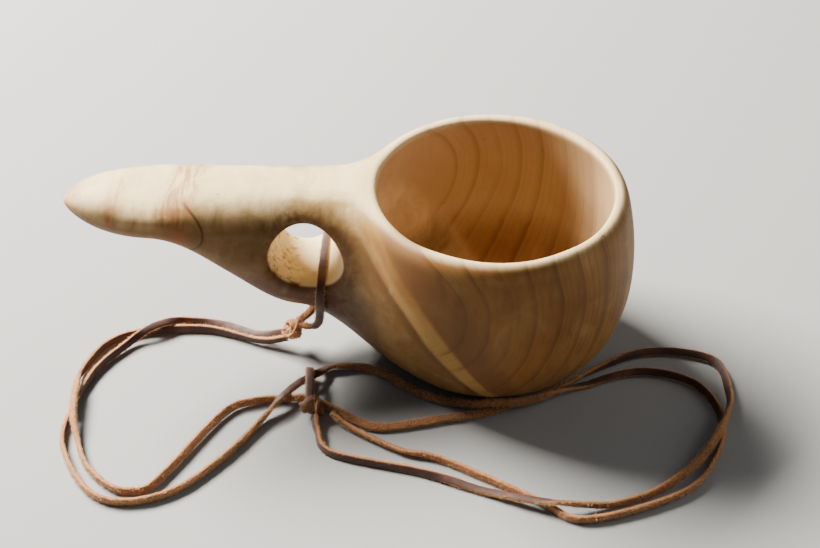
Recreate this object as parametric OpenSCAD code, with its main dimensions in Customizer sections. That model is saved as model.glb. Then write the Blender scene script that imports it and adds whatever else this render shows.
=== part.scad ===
// Kuksa: a drinking cup carved from one piece of birch, with a finger hole
// in its handle and a doubled leather lace tied through the hole.
// The origin is on the table under the centre of the bowl. +Z is up and the
// handle points along -X.

/* [Bowl] */
// Height of the rim above the table
rim_h = 65; // [62:1:68]
// Outer diameter of the rim
rim_d = 84.8; // [82:0.2:88]
// Greatest diameter of the belly
belly_d = 93; // [90:0.5:96]
// Height of the belly's widest ring
belly_h = 36; // [32:1:40]
// Diameter of the flat foot
foot_d = 56; // [52:1:60]
// Thickness of the wall at the rim
wall_t = 4.6; // [3.8:0.1:5.4]
// Thickness of the bottom
bottom_t = 8; // [6:0.5:10]

/* [Handle] */
// Distance from the bowl's axis to the handle's tip
handle_reach = 139.6; // [134:0.2:145]
// Width of the handle across the grip
grip_w = 31.4; // [28:0.2:34]
// Height of the underside at the grip
grip_z = 48; // [45:0.5:51]
// Height of the keel under the finger hole
keel_z = 17.4; // [15:0.2:20]

/* [Finger hole] */
// Diameter of the finger hole
hole_d = 23.4; // [21:0.2:25]
// Distance from the bowl's axis to the hole's axis
hole_x = 61.2; // [60:0.2:63]
// Height of the hole's axis
hole_z = 45; // [44:0.5:46]
// Width of the rounding at each mouth of the hole
mouth_w = 3; // [2:0.5:4]

/* [Lace] */
// Diameter of a round lace with the section of the flat one
lace_d = 2.4; // [2:0.1:2.6]
// Diameter of the knot under the handle
loop_knot_d = 7.4; // [6.4:0.2:8]
// Diameter of the sliding knot on the table
noose_knot_d = 6.4; // [5.6:0.2:7]

/* [Hidden] */
wood_colour = [0.62, 0.45, 0.27];
leather_colour = [0.36, 0.2, 0.12];

rim_r = rim_d / 2;
belly_r = belly_d / 2;
foot_cut = 2;
blank_r = foot_d / 2 - 9;
mouth_r = rim_r - wall_t;
lip_r = wall_t * 0.45;
hollow_r = mouth_r + 2.2;
hollow_h = belly_h + 4;
belly_power = 2.05;
hollow_power = 2.3;
profile_steps = 10;

grip_end = 54;
neck_start = 70;
handle_end = -12;
handle_steps = 20;
level_steps = 12;
blend_power = 4;
least_reach = 0.25;
widest_part = 0.62;
keel_power = 2.1;
back_power = 3;
front_power = 2.1;
cutter_l = 80;

tube_sides = 8;

// Where the lace runs, as points on its centre line. The lace lies on the
// table but for low humps where one strand passes over the other.
strand_p = [
    [-69.5, -3.3, 5.6], [-79.5, -0.5, 2], [-92.5, 5.5, 1.3], [-104.5, 7, 1.6],
    [-111, 4.2, 3.7], [-117, 0.8, 3.7], [-124, -5, 1.6], [-134, -20, 1.3],
    [-139.5, -46.5, 1.2], [-135.5, -62, 1.3], [-126, -75.5, 1.3], [-114, -78.5, 1.3],
    [-100, -73, 1.3], [-86, -58, 1.3], [-75.5, -42, 1.6], [-69.5, -33.5, 3.9],
    [-65.5, -27.5, 3.4], [-61, -24, 3.5], [-58, -20.6, 2.6], [-53.5, -16.6, 1.5],
    [-40, -18, 1.3], [-22.5, -30.5, 1.3], [-9, -35.5, 2], [-1, -36.8, 3.7],
    [6, -36.4, 3.7], [14, -33.8, 2.8], [27, -26.5, 1.4], [50, -19, 1.3],
    [67.5, -25, 1.3], [74, -41, 1.2], [69.5, -59.5, 1.2], [57, -75, 1.3],
    [26.5, -86, 1.3], [11.5, -77.5, 1.2], [-17, -60.5, 1.3], [-30.5, -56, 1.3],
    [-45.5, -47, 1.5], [-53, -41.5, 3.4]
];
strand_q = [
    [-69.5, -5.9, 4.9], [-79, -3.7, 2], [-98, 3, 1.3], [-119, 1.5, 1.2],
    [-131, -4.5, 1.3], [-137.5, -18.5, 1.7], [-138, -29, 3.6], [-137.2, -41, 3.6],
    [-134.5, -51, 1.5], [-130, -62.5, 1.3], [-122, -71.5, 1.3], [-115, -74, 1.3],
    [-107, -70, 1.3], [-89, -40, 1.3], [-79.5, -33.5, 1.3], [-69, -32, 1.2],
    [-61, -33.8, 3.3], [-52, -37.5, 1.5], [-44.5, -43, 1.3], [-36, -45.5, 1.3],
    [-16.5, -41.5, 1.3], [-4, -38.8, 1.2], [4, -35.4, 1.2], [14, -31.4, 1.2],
    [24, -25, 1.2], [51, -9.5, 1.3], [74.5, -12.5, 1.3], [78, -30, 2.2],
    [75.5, -42, 3.6], [70, -53.5, 3.6], [61.5, -64, 1.6], [48.5, -74.5, 1.3],
    [34, -80, 1.5], [20, -81.5, 3.7], [11, -79.7, 3.6], [-6, -73, 1.3],
    [-25, -65.5, 1.3], [-52.5, -57.5, 1.3], [-57.5, -47.5, 1.4], [-58.5, -42, 2.6]
];
handle_loop_route = [
    [-64.8, -5.4, 10.6], [-60.6, -7.2, 11.3], [-58.2, -8.9, 15], [-57.4, -12.2, 22.5],
    [-57.2, -15.6, 30], [-56.5, -11.5, 35.3], [-56, 2, 35.9], [-55.5, 15, 34.9],
    [-55.5, 19.2, 30], [-56.8, 14.5, 22], [-58.8, 8, 15], [-61, 1, 12.2],
    [-64.4, -2.6, 10.9]
];
noose_eye_route = [
    [-60.7, -35.4, 1.3], [-60.9, -28, 1.25], [-61, -23.5, 1.2], [-61, -20.9, 1.8],
    [-61, -20.4, 3.6], [-61, -21, 5.3], [-60.9, -23.8, 5.9], [-60.6, -29, 5.7],
    [-60.4, -35.4, 4.9]
];
loop_knot_at = [-67.3, -4.4, 8.2];
noose_knot_at = [-59.4, -38.4, 3.9];

// Smooth rise from 0 to 1 as t passes from 0 to 1.
function ease(t) = let (u = min(max(t, 0), 1)) u * u * (3 - 2 * u);

// The bowl's outer radius at a height z.
function belly_radius(z) =
    z < belly_h
        ? blank_r + (belly_r - blank_r)
            * pow(1 - pow((belly_h - z) / (belly_h + foot_cut), belly_power), 1 / belly_power)
    : z < rim_h - lip_r
        ? belly_r - (belly_r - rim_r) * pow((z - belly_h) / (rim_h - lip_r - belly_h), 2)
    : rim_r - lip_r + sqrt(max(lip_r * lip_r - pow(z - rim_h + lip_r, 2), 0));

// Height of the bowl's underside at a distance r from its axis.
function bowl_low(r) =
    r < belly_radius(0) ? 0
    : belly_h - (belly_h + foot_cut)
        * pow(1 - pow((r - blank_r) / (belly_r - blank_r), belly_power), 1 / belly_power);

// Height of the bowl's upper outline at a distance r from its axis.
function bowl_high(r) =
    r < rim_r - lip_r ? rim_h
    : r < rim_r ? rim_h - lip_r + sqrt(lip_r * lip_r - pow(r - rim_r + lip_r, 2))
    : belly_h + (rim_h - lip_r - belly_h) * sqrt((belly_r - r) / (belly_r - rim_r));

// Outline of the hollow from its floor up past the rounded lip.
function hollow_outline() = concat(
    [for (i = [0:profile_steps])
        let (a = 90 * i / profile_steps)
        [hollow_r * pow(sin(a), 2 / hollow_power),
         hollow_h - (hollow_h - bottom_t) * pow(cos(a), 2 / hollow_power)]],
    [for (i = [1:profile_steps / 2])
        let (t = i / (profile_steps / 2))
        [hollow_r - (hollow_r - mouth_r) * t * t,
         hollow_h + (rim_h - lip_r - hollow_h) * t]],
    [for (a = [15:15:90]) [mouth_r + lip_r * (1 - cos(a)), rim_h - lip_r * (1 - sin(a))]],
    [[mouth_r + lip_r, rim_h + 10], [0, rim_h + 10]]
);

// Half the handle's width at a distance s from the tip.
function half_width(s) =
    grip_w / 2 * pow(1 - pow(1 - min(s / grip_end, 1), 2.6), 0.59)
    + 16.7 * pow(max(s - neck_start, 0) / 50, 2);

// Height of the handle's underside at a distance s from the tip.
function underside(s) =
    grip_z + 10 * pow(max(1 - s / 26, 0), 3)
    - (grip_z - keel_z) * ease((s - 28) / 48)
    - (keel_z + foot_cut) * ease((s - 74) / 36);

// Height of the handle's top at a distance s from the tip.
function topside(s) = rim_h - 4.5 * pow(max(1 - s / 16, 0), 3);

// How far the handle's middle lies behind the bowl's axis.
function sideways(s) = 1.5 * ease((s - 30) / 40) * (1 - ease((s - 80) / 30));

// Half the handle's width at a height z, on its back or its front.
function handle_reach_at(s, z, upper_power) =
    let (low = underside(s), high = topside(s), mid = low + (high - low) * widest_part,
         t = z < mid ? (mid - z) / (mid - low) : (z - mid) / (high - mid),
         power = z < mid ? keel_power : upper_power)
    half_width(s) * (1 - ease((s - 100) / 30)) * pow(max(1 - pow(min(t, 1), power), 0), 1 / power);

// Half the whole cup's width at a place x and a height z.
function reach_at(x, z, upper_power) =
    let (bowl = sqrt(max(pow(belly_radius(z), 2) - x * x, 0)),
         handle = x < handle_end ? handle_reach_at(x + handle_reach, z, upper_power) : 0)
    max(pow(pow(bowl, blend_power) + pow(handle, blend_power), 1 / blend_power), least_reach);

// One cross-section of the whole cup at a place x.
function cup_section(x) =
    let (r = abs(x), s = x + handle_reach, on_bowl = r < belly_r, on_handle = x < handle_end,
         low = max(min(on_bowl ? bowl_low(r) : rim_h, on_handle ? underside(s) : rim_h), 0),
         high = max(on_bowl ? bowl_high(r) : 0, on_handle ? topside(s) : 0),
         levels = [for (k = [0:level_steps])
             low + (high - low) * (1 - cos(180 * k / level_steps)) / 2])
    concat(
        [for (k = [0:level_steps])
            [x, sideways(s) + reach_at(x, levels[k], back_power), levels[k]]],
        [for (k = [level_steps:-1:0])
            [x, sideways(s) - reach_at(x, levels[k], front_power), levels[k]]]
    );

// A closed solid through rings that hold the same number of points each.
module skin(rings) {
    n = len(rings[0]);
    last = len(rings) - 1;
    sides = [for (r = [0:last - 1], i = [0:n - 1])
        let (j = (i + 1) % n)
        for (f = [[r * n + i, r * n + j, (r + 1) * n + j],
                  [r * n + i, (r + 1) * n + j, (r + 1) * n + i]]) f];
    polyhedron(
        points = [for (ring = rings) each ring],
        faces = concat([[for (i = [n - 1:-1:0]) i]], sides, [[for (i = [0:n - 1]) last * n + i]])
    );
}

// Places of the cross-sections on one half of the bowl, from its axis out.
function bowl_places() = concat(
    [for (a = [0:9:90]) (rim_r - lip_r) * sin(a)],
    [for (a = [35:27.5:90]) rim_r - lip_r + lip_r * sin(a)],
    [for (a = [30:20:90]) rim_r + (belly_r - rim_r) * sin(a) * (a < 90 ? 1 : 0.995)]
);

// The outside of the cup, before the hollow and the finger hole are cut.
module cup_blank() {
    far = bowl_places();
    near = [for (k = [len(far) - 1:-1:1]) -far[k]];
    grip = [for (k = [0:handle_steps - 1])
        0.5 - handle_reach + (handle_reach - belly_r - 1) * pow(k / handle_steps, 1.2)];
    skin([for (x = concat(grip, near, far)) cup_section(x)]);
}

// The finger hole, with a rounded mouth on each side.
module finger_hole() {
    translate([-hole_x, 0, hole_z]) rotate([90, 0, 0]) {
        cylinder(h = cutter_l, d = hole_d, center = true, $fn = 64);
        for (side = [-1, 1])
            translate([0, 0, side * 14])
                cylinder(h = 7, d1 = hole_d + (1 - side) * mouth_w,
                         d2 = hole_d + (1 + side) * mouth_w, center = true, $fn = 64);
    }
}

// The wooden cup: bowl and handle in one piece.
module cup() {
    color(wood_colour)
    difference() {
        cup_blank();
        rotate_extrude($fn = 96) polygon(hollow_outline());
        finger_hole();
    }
}

// The direction of a route at one of its points.
function heading(route, i) =
    let (v = route[min(i + 1, len(route) - 1)] - route[max(i - 1, 0)]) v / norm(v);

// A round lace along a route. Its rings are turned from the given direction.
module lace(route, aside) {
    color(leather_colour)
    skin([for (i = [0:len(route) - 1])
        let (t = heading(route, i), u = cross(aside, t) / norm(cross(aside, t)), v = cross(t, u))
        [for (k = [0:tube_sides - 1])
            let (a = 360 * (k + 0.5) / tube_sides)
            route[i] + lace_d / 2 * (u * cos(a) + v * sin(a))]]);
}

// A knot drawn tight: a round core with turns of lace round it.
module knot(at, size, turns) {
    color(leather_colour)
    translate(at) {
        sphere(d = size - lace_d / 2, $fn = 24);
        for (turn = turns)
            rotate(turn)
                rotate_extrude($fn = 32)
                    translate([(size - lace_d) / 2, 0]) circle(d = lace_d, $fn = 12);
    }
}

// The loop of lace through the finger hole and under the handle.
module handle_loop() {
    lace(handle_loop_route, [1, 0, 0]);
}

// The overhand knot that closes the handle loop.
module loop_knot() {
    knot(loop_knot_at, loop_knot_d, [[70, 0, 0], [70, 0, 75]]);
}

// The first of the two strands between the knots.
module lace_strand_p() {
    lace(strand_p, [0, 0, 1]);
}

// The second of the two strands between the knots.
module lace_strand_q() {
    lace(strand_q, [0, 0, 1]);
}

// The eye of the sliding knot, which goes round both strands.
module noose_eye() {
    lace(noose_eye_route, [1, 0, 0]);
}

// The sliding knot that the strands end in.
module noose_knot() {
    knot(noose_knot_at, noose_knot_d, [[0, 62, 10], [0, 62, 80]]);
}

cup();
handle_loop();
loop_knot();
lace_strand_p();
lace_strand_q();
noose_eye();
noose_knot();
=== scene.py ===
"""A kuksa: a birch drinking cup with a doubled leather wrist lace."""
import logging
import math
from dataclasses import dataclass, field
from enum import Enum
from typing import Callable, Optional, Sequence

import bpy
import numpy as np
from mathutils import Euler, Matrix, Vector


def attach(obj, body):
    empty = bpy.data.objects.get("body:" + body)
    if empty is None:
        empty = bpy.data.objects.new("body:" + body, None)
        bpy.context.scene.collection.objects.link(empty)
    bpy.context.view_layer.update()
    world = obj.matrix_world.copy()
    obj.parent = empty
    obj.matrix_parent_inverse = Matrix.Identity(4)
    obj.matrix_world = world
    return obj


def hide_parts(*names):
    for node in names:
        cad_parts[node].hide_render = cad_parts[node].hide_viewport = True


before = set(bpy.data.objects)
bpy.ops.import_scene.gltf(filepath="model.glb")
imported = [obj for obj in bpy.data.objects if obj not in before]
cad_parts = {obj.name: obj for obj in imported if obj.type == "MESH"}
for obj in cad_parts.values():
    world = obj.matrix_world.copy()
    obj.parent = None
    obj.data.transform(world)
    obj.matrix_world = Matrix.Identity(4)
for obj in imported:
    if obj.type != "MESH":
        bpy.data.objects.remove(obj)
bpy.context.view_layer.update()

MM = 0.001
ROOT = "root"
LOG = logging.getLogger("kuksa")

Array = np.ndarray
Point = tuple[float, float, float]
Node = bpy.types.Node
Socket = bpy.types.NodeSocket
Value = Socket | float


# --------------------------------------------------------------------------
# Small helpers
# --------------------------------------------------------------------------

def linear(hex_code: str) -> tuple[float, float, float, float]:
    """Turn an sRGB hex colour into linear RGBA.

    Args:
        hex_code: Six hex digits, with or without a leading #.

    Returns:
        The colour as linear red, green, blue and an alpha of 1.
    """
    digits = hex_code.lstrip("#")
    channels = [int(digits[i:i + 2], 16) / 255 for i in (0, 2, 4)]
    straight = [c / 12.92 if c <= 0.04045 else ((c + 0.055) / 1.055) ** 2.4 for c in channels]
    return (*straight, 1.0)


@dataclass
class Wires:
    """Short calls that add nodes to one tree and join them.

    Attributes:
        tree: The tree that takes the nodes.
    """

    tree: bpy.types.NodeTree

    def node(self, kind: str, settings: Optional[dict] = None,
             links: Optional[dict] = None) -> Node:
        """Add a node with its settings and links.

        Args:
            kind: The node's type name.
            settings: Property names with values. A key that is an int or
                starts with "in:" sets that input socket's value instead.
            links: Input sockets, by name or number, with what feeds each: an
                output socket, or a plain value.

        Returns:
            The new node.
        """
        node = self.tree.nodes.new(kind)
        for key, value in (settings or {}).items():
            if isinstance(key, int):
                node.inputs[key].default_value = value
            elif key.startswith("in:"):
                node.inputs[key[3:]].default_value = value
            else:
                setattr(node, key, value)
        for key, source in (links or {}).items():
            if isinstance(source, bpy.types.NodeSocket):
                self.tree.links.new(source, node.inputs[key])
            elif source is not None:
                node.inputs[key].default_value = source
        return node

    def maths(self, operation: str, a: Value, b: Value = 0.0, c: Value = 0.0) -> Socket:
        """Add a sum of up to three values or sockets, and give its result."""
        return self.node("ShaderNodeMath", {"operation": operation}, {0: a, 1: b, 2: c}).outputs[0]

    def product(self, first: Value, *others: Value) -> Value:
        """Multiply values or sockets together.

        Args:
            first: First factor.
            others: The other factors.

        Returns:
            The product.
        """
        for other in others:
            first = self.maths("MULTIPLY", first, other)
        return first

    def vector(self, operation: str, a: Socket | Point, b: Socket | Point | None = None,
               c: Socket | Point | None = None) -> Socket:
        """Add a vector sum.

        Args:
            operation: The sum's name.
            a: First vector.
            b: Second vector, where the sum has one.
            c: Third vector, where the sum has one.

        Returns:
            The resulting vector or, for a length or dot product, the number.
        """
        node = self.node("ShaderNodeVectorMath", {"operation": operation}, {0: a, 1: b, 2: c})
        return node.outputs["Value" if operation in ("LENGTH", "DOT_PRODUCT") else "Vector"]

    def scaled(self, place: Socket, factor: Value) -> Socket:
        """Multiply a vector by a number."""
        return self.node("ShaderNodeVectorMath", {"operation": "SCALE"},
                         {0: place, "Scale": factor}).outputs[0]

    def away(self, place: Socket, x: float, z: float, tall: float = 1.0) -> Socket:
        """Measure the distance from a line along Y, with heights counted tall times."""
        return self.vector("LENGTH", self.vector("MULTIPLY_ADD", place, (1.0, 0.0, tall),
                                                 (-x, 0.0, -tall * z)))

    def remap(self, value: Socket, low: float, high: float, to_low: float = 0.0,
              to_high: float = 1.0) -> Socket:
        """Map one range of a value to another, eased at both ends and clamped.

        Args:
            value: The socket to read.
            low: The value that becomes to_low.
            high: The value that becomes to_high.
            to_low: Result at low.
            to_high: Result at high.

        Returns:
            The result's socket.
        """
        return self.node("ShaderNodeMapRange", {"interpolation_type": "SMOOTHSTEP"},
                         {0: value, 1: low, 2: high, 3: to_low, 4: to_high}).outputs[0]

    def stripe(self, value: Socket, start: float, full: float, until: float, end: float) -> Socket:
        """Rise from 0 at start to 1 at full, and fall from 1 at until to 0 at end."""
        return self.product(self.remap(value, start, full), self.remap(value, end, until))

    def mix(self, share: Value, a: Socket | str, b: Socket | str, mode: str = "MIX") -> Socket:
        """Mix two colours.

        Args:
            share: How much of the second colour shows.
            a: First colour, as a hex code or a socket.
            b: Second colour, as a hex code or a socket.
            mode: The way that the colours mix.

        Returns:
            The mixed colour's socket.
        """
        a, b = (linear(c) if isinstance(c, str) else c for c in (a, b))
        return self.node("ShaderNodeMix", {"data_type": "RGBA", "blend_type": mode},
                         {0: share, 6: a, 7: b}).outputs[2]

    def noise(self, place: Socket, per_mm: float, detail: float, swirl: float = 0.0,
              rough: float = 0.6) -> Socket:
        """Add cloudy noise.

        Args:
            place: The place in mm.
            per_mm: Number of clouds in a mm.
            detail: Number of finer layers.
            swirl: How far the clouds are twisted.
            rough: Strength of the finer layers.

        Returns:
            The noise's value, about 0.5 on average.
        """
        return self.node("ShaderNodeTexNoise",
                         {"in:Scale": per_mm, "in:Detail": detail, "in:Roughness": rough,
                          "in:Distortion": swirl}, {"Vector": place}).outputs[0]

    def attribute(self, name: str) -> Socket:
        """Read a vector that is stored on the geometry."""
        return self.node("GeometryNodeInputNamedAttribute",
                         {"data_type": "FLOAT_VECTOR", "in:Name": name}).outputs["Attribute"]

    def store(self, name: str, kind: str, geometry: Socket, value: Socket | Point) -> Socket:
        """Store a value on the points of a geometry.

        Args:
            name: The value's name.
            kind: Its type.
            geometry: The geometry.
            value: The value, or the socket that gives it.

        Returns:
            The geometry's socket.
        """
        return self.node("GeometryNodeStoreNamedAttribute",
                         {"data_type": kind, "domain": "POINT", "in:Name": name},
                         {"Geometry": geometry, "Value": value}).outputs[0]

    def finish(self, shader: Node, colour: Socket, roughness: Socket, height: Socket,
               strength: float, depth_mm: float) -> None:
        """Join the shader's colour, roughness and bumps.

        Args:
            shader: The Principled shader.
            colour: Its base colour.
            roughness: Its roughness.
            height: Height of its bumps.
            strength: How strongly the bumps show.
            depth_mm: Depth of the bumps in mm.
        """
        bump = self.node("ShaderNodeBump", {"in:Strength": strength, "in:Distance": depth_mm * MM},
                         {"Height": height}).outputs[0]
        for name, source in (("Base Color", colour), ("Roughness", roughness), ("Normal", bump)):
            self.tree.links.new(source, shader.inputs[name])


def new_material(name: str, **constants: float | tuple) -> tuple[bpy.types.Material, Wires, Node]:
    """Make a material with an empty tree but for its shader and output.

    Args:
        name: The material's name.
        constants: Values of the shader's inputs, with _ for a space in a name.

    Returns:
        The material, its wires and its Principled shader.
    """
    material = bpy.data.materials.new(name)
    material.use_nodes = True
    wires = Wires(material.node_tree)
    wires.tree.nodes.clear()
    shader = wires.node("ShaderNodeBsdfPrincipled")
    for key, value in constants.items():
        shader.inputs[key.replace("_", " ")].default_value = value
    wires.node("ShaderNodeOutputMaterial", links={"Surface": shader.outputs[0]})
    return material, wires, shader


def show(name: str, mesh: bpy.types.Mesh) -> bpy.types.Object:
    """Put a mesh into the scene as an object at the origin.

    Args:
        name: The object's name.
        mesh: The mesh.

    Returns:
        The object.
    """
    piece = bpy.data.objects.new(name, mesh)
    bpy.context.scene.collection.objects.link(piece)
    return piece


def mesh_object(name: str, points: Array, faces: Sequence[Sequence[int]],
                smooth: bool = True) -> bpy.types.Object:
    """Make a mesh object at the origin.

    Args:
        name: The object's name.
        points: Vertex places in metres.
        faces: Vertex numbers of each face.
        smooth: Whether the faces are shaded smooth.

    Returns:
        The object, linked to the scene.
    """
    mesh = bpy.data.meshes.new(name)
    mesh.from_pydata([tuple(p) for p in points], [], [tuple(f) for f in faces])
    mesh.polygons.foreach_set("use_smooth", [smooth] * len(mesh.polygons))
    mesh.update()
    return show(name, mesh)


def ease(t: Array) -> Array:
    """Rise smoothly from 0 to 1 as t passes from 0 to 1."""
    u = np.clip(t, 0, 1)
    return u * u * (3 - 2 * u)


def soft_max(a: Array, b: Array, k: float) -> Array:
    """Take the larger of two fields, rounded over a width.

    Args:
        a: First field.
        b: Second field.
        k: Width of the rounding in the fields' own units.

    Returns:
        The rounded maximum.
    """
    h = np.clip(0.5 + 0.5 * (a - b) / k, 0, 1)
    return b * (1 - h) + a * h + k * h * (1 - h)


def soft_min(a: Array, b: Array, k: float) -> Array:
    """Take the smaller of two fields, rounded over a width k."""
    return -soft_max(-a, -b, k)


# --------------------------------------------------------------------------
# Finishes
# --------------------------------------------------------------------------

@dataclass(frozen=True)
class WoodPlace:
    """Sockets that say where a point of the wood lies, in mm.

    Attributes:
        at: The place.
        bent: The place in slowly bent space.
        x: The place along X.
        y: The place along Y.
        z: The place along Z.
        clear: Distance from the finger hole's axis.
        beyond: Distance beyond the middle of the sapwood band.
        outside: 0 on the hollow's wall and 1 on the rest.
    """

    at: Socket
    bent: Socket
    x: Socket
    y: Socket
    z: Socket
    clear: Socket
    beyond: Socket
    outside: Socket


@dataclass(frozen=True)
class OiledBirch:
    """Birch carved, sanded and oiled.

    Oil makes the wood warm. On the bowl the growth rings show as soft dark
    lines, and a pale band of sapwood slants across its front where the stem
    forked. The handle is cloudy fork wood with hardly a line. The surface is
    satin, with fine pores.

    Attributes:
        pale: Colour of the light early wood.
        warm: Colour of the oil-soaked wood.
        olive: Colour of the greyish fork wood.
        cream: Colour of the handle's lightest wood.
        painted_light_pale: Pale colour painted as light on the rim, the handle's top and the finger
            hole's wall, where the lamp lights them.
        hollow: Colour that drink and washing give the hollow.
        line: Colour of the dark late wood.
        red: Colour of the reddish heartwood.
        heartwood: Colour of the greyish wood beside the sapwood band.
        painted_flank_shade: Painted shade on the handle's sides below its top.
        sap: Colour of the pale sapwood band.
        shade: Colour of the dark bark-side stains.
        painted_outside_shade: Painted shade that darkens the outside below the top, less towards the
            right.
        ring_mm: Spacing of the growth rings.
        heart: Middle of the bowl's rings along X and Z in mm.
        seam: Distance of the sapwood band's plane from the origin in mm.
        seam_axis: Direction across the sapwood band.
        knot_at: Middle of the small branch ring on the handle, along X and Z.
        hole_at: Place of the finger hole's axis along X and Z in mm.
        hollow_r: Radius in mm that lies between the hollow's wall and the outside.
        hollow_h: Height in mm that lies between the hollow's floor and the outside.
        hollow_mid: Height in mm from which the hollow's wall is upright.
    """

    pale: str = "#9b7542"
    warm: str = "#825d31"
    olive: str = "#a08352"
    cream: str = "#dcc292"
    painted_light_pale: str = "#ecd5a4"
    hollow: str = "#c4a67f"
    line: str = "#5d3a20"
    red: str = "#99582f"
    heartwood: str = "#6f5338"
    painted_flank_shade: str = "#664c28"
    sap: str = "#b89a60"
    shade: str = "#54301d"
    painted_outside_shade: str = "#cbb394"
    ring_mm: float = 7.6
    heart: tuple[float, float] = (-33.0, 45.0)
    seam: float = 4.2
    seam_axis: Point = (-0.795, 0.0, -0.606)
    knot_at: tuple[float, float] = (-105.0, 56.0)
    hole_at: tuple[float, float] = (-61.2, 45.0)
    hollow_r: float = 42.3
    hollow_h: float = 34.5
    hollow_mid: float = 40.0

    def material(self) -> bpy.types.Material:
        """Build the wood's material.

        Returns:
            The material.
        """
        material, w, shader = new_material("birch, carved and oiled", IOR=1.42,
                                           Specular_IOR_Level=0.2)
        p = self._place(w)
        body = self._marks(w, p, self._fork(w, p, self._body(w, p)))
        # Painted shade: the outside below the top is darkened, less towards the right, where the lamp
        # behind does not reach.
        painted_outside_shade = w.product(p.outside, w.remap(p.z, 63.5, 58.0, 0.0, 0.75),
                            w.remap(p.clear, 12.0, 12.8), w.remap(p.x, 4.0, 42.0, 1.0, 0.3))
        body = w.mix(painted_outside_shade, body, self.painted_outside_shade, "MULTIPLY")
        rings = w.product(self._rings(w, p), w.remap(p.x, -44.0, -28.0),
                          w.maths("MULTIPLY_ADD", p.outside, 0.5, 0.5))
        body = w.mix(rings, body, self.line)
        pores = w.noise(w.vector("MULTIPLY", p.at, (1.0, 0.3, 1.0)), 2.4, 3.0)
        body = w.mix(w.remap(pores, 0.52, 0.8, 0.0, 0.22), body, self.line)
        body = w.mix(w.remap(w.noise(p.at, 0.42, 1.0), 0.76, 0.82, 0.0, 0.5), body, self.shade)
        height = w.maths("SUBTRACT", w.product(pores, 0.7), w.product(rings, 0.4))
        w.finish(shader, body, w.remap(pores, 0.3, 0.75, 0.46, 0.64), height, 0.3, 0.12)
        return material

    def _place(self, w: Wires) -> WoodPlace:
        """Work out where a point lies, with space bent so that no ring is a true circle.

        Args:
            w: The material's wires.

        Returns:
            The place's sockets.
        """
        at = w.scaled(w.node("ShaderNodeTexCoord").outputs["Object"], 1000.0)
        x, y, z = w.node("ShaderNodeSeparateXYZ", links={0: at}).outputs
        bent = at
        for per_mm, reach in ((0.016, 9.0), (0.07, 1.3)):
            drift = w.node("ShaderNodeTexNoise", {"in:Scale": per_mm, "in:Detail": 2.0},
                           {"Vector": at}).outputs["Color"]
            bent = w.vector("MULTIPLY_ADD", w.vector("SUBTRACT", drift, (0.5,) * 3),
                            (reach,) * 3, bent)
        below = w.maths("MINIMUM", w.maths("SUBTRACT", z, self.hollow_mid), 0.0)
        lift = w.node("ShaderNodeCombineXYZ", links={2: w.maths("DIVIDE", below, self.hollow_h)})
        flat = w.vector("MULTIPLY", at, (1 / self.hollow_r, 1 / self.hollow_r, 0.0))
        size = w.vector("LENGTH", w.vector("ADD", flat, lift.outputs[0]))
        beyond = w.maths("ADD", w.vector("DOT_PRODUCT", bent, self.seam_axis), self.seam)
        return WoodPlace(at, bent, x, y, z, w.away(at, *self.hole_at), beyond,
                         w.remap(size, 0.96, 0.99))

    def _body(self, w: Wires, p: WoodPlace) -> Socket:
        """Mix the wood's cloudy colours, before any line, and paint light on the rim and the handle's
        top.

        Args:
            w: The material's wires.
            p: Where the point lies.

        Returns:
            The colour's socket.
        """
        body = w.mix(w.remap(w.noise(p.bent, 0.035, 2.5), 0.3, 0.7), self.warm, self.pale)
        fork = w.mix(w.remap(w.noise(p.bent, 0.06, 4.0, 1.0), 0.34, 0.66), self.olive, self.cream)
        body = w.mix(w.remap(p.beyond, 5.0, -2.0), fork, body)
        streak = w.noise(w.vector("MULTIPLY", p.bent, (0.35, 0.02, 0.09)), 1.0, 4.0)
        body = w.mix(w.remap(streak, 0.45, 0.75, 0.0, 0.3), body, self.line)
        body = w.mix(w.remap(w.noise(p.at, 0.03, 3.0, 0.8), 0.52, 0.74, 0.0, 0.4), body, self.red)
        body = w.mix(w.remap(w.noise(p.bent, 0.07, 2.0, 1.0), 0.52, 0.74, 0.0, 0.08), body,
                     self.cream)
        body = w.mix(w.maths("MULTIPLY_ADD", p.outside, -0.6, 0.6), body, self.hollow)
        # Painted light: the rim and the handle's top are painted pale, as the lamp above and behind
        # lights them.
        return w.mix(w.remap(p.z, 62.8, 64.7, 0.0, 0.65), body, self.painted_light_pale)

    def _fork(self, w: Wires, p: WoodPlace, body: Socket) -> Socket:
        """Lay the sapwood band across the front, with darker wood on both its sides, and paint shade on
        the handle's sides below its top.

        Args:
            w: The material's wires.
            p: Where the point lies.
            body: The colour so far.

        Returns:
            The colour's socket.
        """
        # The band is narrower towards the foot.
        depth = w.product(p.beyond, w.remap(p.z, 6.0, 46.0, 1.7, 1.0))
        front = w.remap(p.y, -14.0, -26.0)
        body = w.mix(w.product(w.stripe(depth, -22.0, -12.0, -5.5, -3.0), front, 0.55), body,
                     self.heartwood)
        # Painted shade: the handle's sides below its top are darkened, as only the top is lit.
        painted_flank_shade = w.product(w.remap(p.z, 61.0, 56.0), w.remap(depth, 0.0, 6.0), p.outside, 0.78)
        body = w.mix(painted_flank_shade, body, self.painted_flank_shade)
        band = w.product(w.stripe(depth, -4.6, -2.6, 2.0, 4.4),
                         w.remap(p.z, 52.0, 36.0, 0.15, 1.0), front, 0.75)
        body = w.mix(band, body, self.sap)
        return w.mix(w.product(w.stripe(depth, 3.2, 4.6, 5.0, 9.5), front, 0.5), body, self.line)

    def _marks(self, w: Wires, p: WoodPlace, body: Socket) -> Socket:
        """Stain the handle: round the hole, across the grip and at a small branch. Paint light on the
        hole's wall.

        Args:
            w: The material's wires.
            p: Where the point lies.
            body: The colour so far.

        Returns:
            The colour's socket.
        """
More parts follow.
